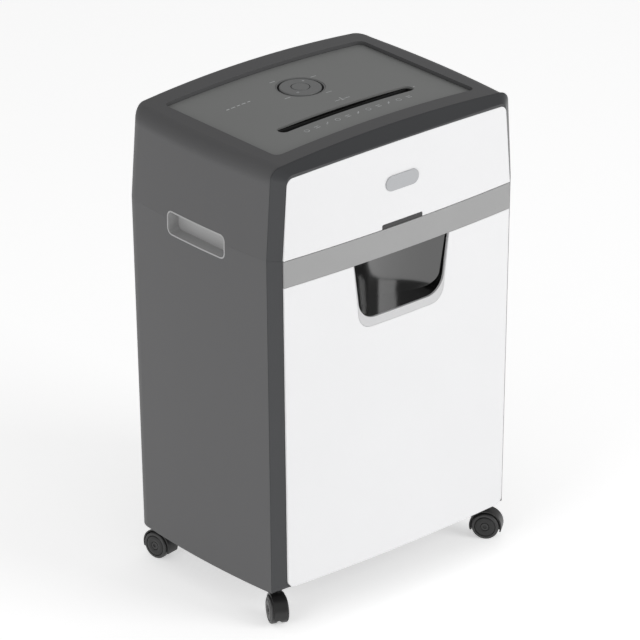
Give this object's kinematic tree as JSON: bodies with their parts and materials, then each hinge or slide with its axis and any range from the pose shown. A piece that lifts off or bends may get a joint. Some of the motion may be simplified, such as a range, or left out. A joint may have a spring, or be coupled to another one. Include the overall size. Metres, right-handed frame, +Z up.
{
  "type": "paper shredder",
  "caption": "Free-standing office paper shredder: crowned cutting head with feed slot and key ring on a cabinet with a pull-out bin, on castors.",
  "frame": {"origin": "on the floor, under the middle of the body", "axes": "+X to the right seen from the front, +Y towards the back, +Z up"},
  "size_m": [0.4194, 0.3, 0.637],
  "materials": {
    "body_dark": "fine-textured charcoal plastic",
    "bezel_dark": "satin charcoal plastic",
    "panel_grey": "satin grey plastic",
    "panel_white": "satin white plastic",
    "strip_grey": "satin mid-grey plastic",
    "lip_grey": "satin light-grey plastic",
    "cup_grey": "matte light-grey plastic",
    "gloss_black": "polished black plastic",
    "window_dark": "smoked plastic",
    "badge_metal": "brushed plate",
    "bin_dark": "moulded bin plastic",
    "throat_black": "matte black plastic",
    "key_grey": "satin key plastic",
    "steel": "machined steel",
    "gear_nylon": "nylon",
    "board_green": "coated circuit board",
    "brass": "sintered bronze",
    "castor_black": "moulded nylon",
    "wheel_black": "soft tread"
  },
  "bodies": {
    "housing": {"badge_plate": "badge_metal", "bin_rails": "bin_dark", "cabinet_bezel": "bezel_dark", "cabinet_shell": "body_dark", "castor_sockets": "throat_black", "control_board": "board_green", "control_surround": "key_grey", "cord_gland": "throat_black", "cutter_bearings": "brass", "feed_throat": "throat_black", "gear_posts": "steel", "handle_cup_left": "cup_grey", "handle_cup_right": "cup_grey", "head_base": "body_dark", "head_bezel": "bezel_dark", "head_shell": "body_dark", "housing_screws": "steel", "indicator_window": "window_dark", "motor_can": "steel", "paper_sensor": "throat_black", "power_switch_body": "throat_black", "side_plate_left": "steel", "side_plate_right": "steel", "stripper_combs": "throat_black", "tie_rods": "steel", "top_panel": "panel_grey", "upper_front_panel": "panel_white"},
    "bin": {"bin_tub": "bin_dark", "bin_front_frame": "bin_dark", "bin_front_panel": "panel_white", "bin_strip": "strip_grey", "scoop_shell": "gloss_black", "scoop_lip": "lip_grey"},
    "front_cutter": {"front_cutter": "steel", "front_cutter_gear": "steel"},
    "rear_cutter": {"rear_cutter": "steel", "rear_cutter_gear": "steel"},
    "compound_gear_1": {"compound_gear_1": "gear_nylon"},
    "compound_gear_2": {"compound_gear_2": "steel"},
    "motor_rotor": {"motor_rotor": "steel", "motor_fan": "throat_black"},
    "ring_carrier": {"ring_carrier": "key_grey"},
    "control_ring": {"control_ring": "key_grey"},
    "power_button": {"power_button": "key_grey"},
    "switch_rocker": {"switch_rocker": "throat_black"},
    "castor_front_left": {"castor_front_left_hood": "castor_black"},
    "castor_front_left_wheel_left": {"castor_front_left_wheel_left": "wheel_black"},
    "castor_front_left_wheel_right": {"castor_front_left_wheel_right": "wheel_black"},
    "castor_front_right": {"castor_front_right_hood": "castor_black"},
    "castor_front_right_wheel_left": {"castor_front_right_wheel_left": "wheel_black"},
    "castor_front_right_wheel_right": {"castor_front_right_wheel_right": "wheel_black"},
    "castor_back_left": {"castor_back_left_hood": "castor_black"},
    "castor_back_left_wheel_left": {"castor_back_left_wheel_left": "wheel_black"},
    "castor_back_left_wheel_right": {"castor_back_left_wheel_right": "wheel_black"},
    "castor_back_right": {"castor_back_right_hood": "castor_black"},
    "castor_back_right_wheel_left": {"castor_back_right_wheel_left": "wheel_black"},
    "castor_back_right_wheel_right": {"castor_back_right_wheel_right": "wheel_black"}
  },
  "joints": [
    {"name": "bin_slide", "type": "slide", "parent": "housing", "child": "bin", "axis": [0, -1, 0], "range_m": [0, 0.3]},
    {"name": "motor_spin", "type": "hinge", "parent": "housing", "child": "motor_rotor", "pos_m": [0, 0.062, 0.556], "axis": [1, 0, 0], "continuous": true},
    {"name": "compound_1_spin", "type": "hinge", "parent": "housing", "child": "compound_gear_1", "pos_m": [0, 0.04123, 0.57764], "axis": [1, 0, 0], "continuous": true},
    {"name": "compound_2_spin", "type": "hinge", "parent": "housing", "child": "compound_gear_2", "pos_m": [0, 0.011, 0.56], "axis": [1, 0, 0], "continuous": true},
    {"name": "rear_cutter_spin", "type": "hinge", "parent": "housing", "child": "rear_cutter", "pos_m": [0, -0.025, 0.56], "axis": [1, 0, 0], "continuous": true},
    {"name": "front_cutter_spin", "type": "hinge", "parent": "housing", "child": "front_cutter", "pos_m": [0, -0.061, 0.56], "axis": [1, 0, 0], "continuous": true},
    {"name": "ring_tilt_side", "type": "hinge", "parent": "housing", "child": "ring_carrier", "pos_m": [0, 0.044, 0.6265], "axis": [0, 1, 0], "range_deg": [-2, 2], "stiffness_Nm_per_rad": 0.4},
    {"name": "ring_tilt_front", "type": "hinge", "parent": "ring_carrier", "child": "control_ring", "pos_m": [0, 0.044, 0.6265], "axis": [1, 0, 0], "range_deg": [-2, 2], "stiffness_Nm_per_rad": 0.4},
    {"name": "power_press", "type": "slide", "parent": "housing", "child": "power_button", "axis": [0, 0, -1], "range_m": [0, 0.001], "stiffness_N_per_m": 300},
    {"name": "rocker_tilt", "type": "hinge", "parent": "housing", "child": "switch_rocker", "pos_m": [-0.07, 0.141, 0.55], "axis": [1, 0, 0], "range_deg": [-8, 8]},
    {"name": "front_left_swivel", "type": "hinge", "parent": "housing", "child": "castor_front_left", "pos_m": [-0.174, -0.108, 0.05], "axis": [0, 0, 1], "continuous": true},
    {"name": "front_left_roll_left", "type": "hinge", "parent": "castor_front_left", "child": "castor_front_left_wheel_left", "pos_m": [-0.17882, -0.11789, 0.018], "axis": [-0.8988, 0.4384, 0], "continuous": true},
    {"name": "front_left_roll_right", "type": "hinge", "parent": "castor_front_left", "child": "castor_front_left_wheel_right", "pos_m": [-0.17882, -0.11789, 0.018], "axis": [-0.8988, 0.4384, 0], "continuous": true},
    {"name": "front_right_swivel", "type": "hinge", "parent": "housing", "child": "castor_front_right", "pos_m": [0.174, -0.108, 0.05], "axis": [0, 0, 1], "continuous": true},
    {"name": "front_right_roll_left", "type": "hinge", "parent": "castor_front_right", "child": "castor_front_right_wheel_left", "pos_m": [0.18077, -0.11667, 0.018], "axis": [-0.788, -0.6157, 0], "continuous": true},
    {"name": "front_right_roll_right", "type": "hinge", "parent": "castor_front_right", "child": "castor_front_right_wheel_right", "pos_m": [0.18077, -0.11667, 0.018], "axis": [-0.788, -0.6157, 0], "continuous": true},
    {"name": "back_left_swivel", "type": "hinge", "parent": "housing", "child": "castor_back_left", "pos_m": [-0.174, 0.108, 0.05], "axis": [0, 0, 1], "continuous": true},
    {"name": "back_left_roll_left", "type": "hinge", "parent": "castor_back_left", "child": "castor_back_left_wheel_left", "pos_m": [-0.17591, 0.11883, 0.018], "axis": [0.9848, 0.1736, 0], "continuous": true},
    {"name": "back_left_roll_right", "type": "hinge", "parent": "castor_back_left", "child": "castor_back_left_wheel_right", "pos_m": [-0.17591, 0.11883, 0.018], "axis": [0.9848, 0.1736, 0], "continuous": true},
    {"name": "back_right_swivel", "type": "hinge", "parent": "housing", "child": "castor_back_right", "pos_m": [0.174, 0.108, 0.05], "axis": [0, 0, 1], "continuous": true},
    {"name": "back_right_roll_left", "type": "hinge", "parent": "castor_back_right", "child": "castor_back_right_wheel_left", "pos_m": [0.18031, 0.11701, 0.018], "axis": [0.8192, -0.5736, 0], "continuous": true},
    {"name": "back_right_roll_right", "type": "hinge", "parent": "castor_back_right", "child": "castor_back_right_wheel_right", "pos_m": [0.18031, 0.11701, 0.018], "axis": [0.8192, -0.5736, 0], "continuous": true}
  ],
  "couplings": [
    {"joint": "compound_1_spin", "follows": "motor_spin", "ratio": -0.2},
    {"joint": "compound_2_spin", "follows": "motor_spin", "ratio": 0.054545},
    {"joint": "rear_cutter_spin", "follows": "motor_spin", "ratio": -0.018182},
    {"joint": "front_cutter_spin", "follows": "motor_spin", "ratio": 0.018182}
  ]
}
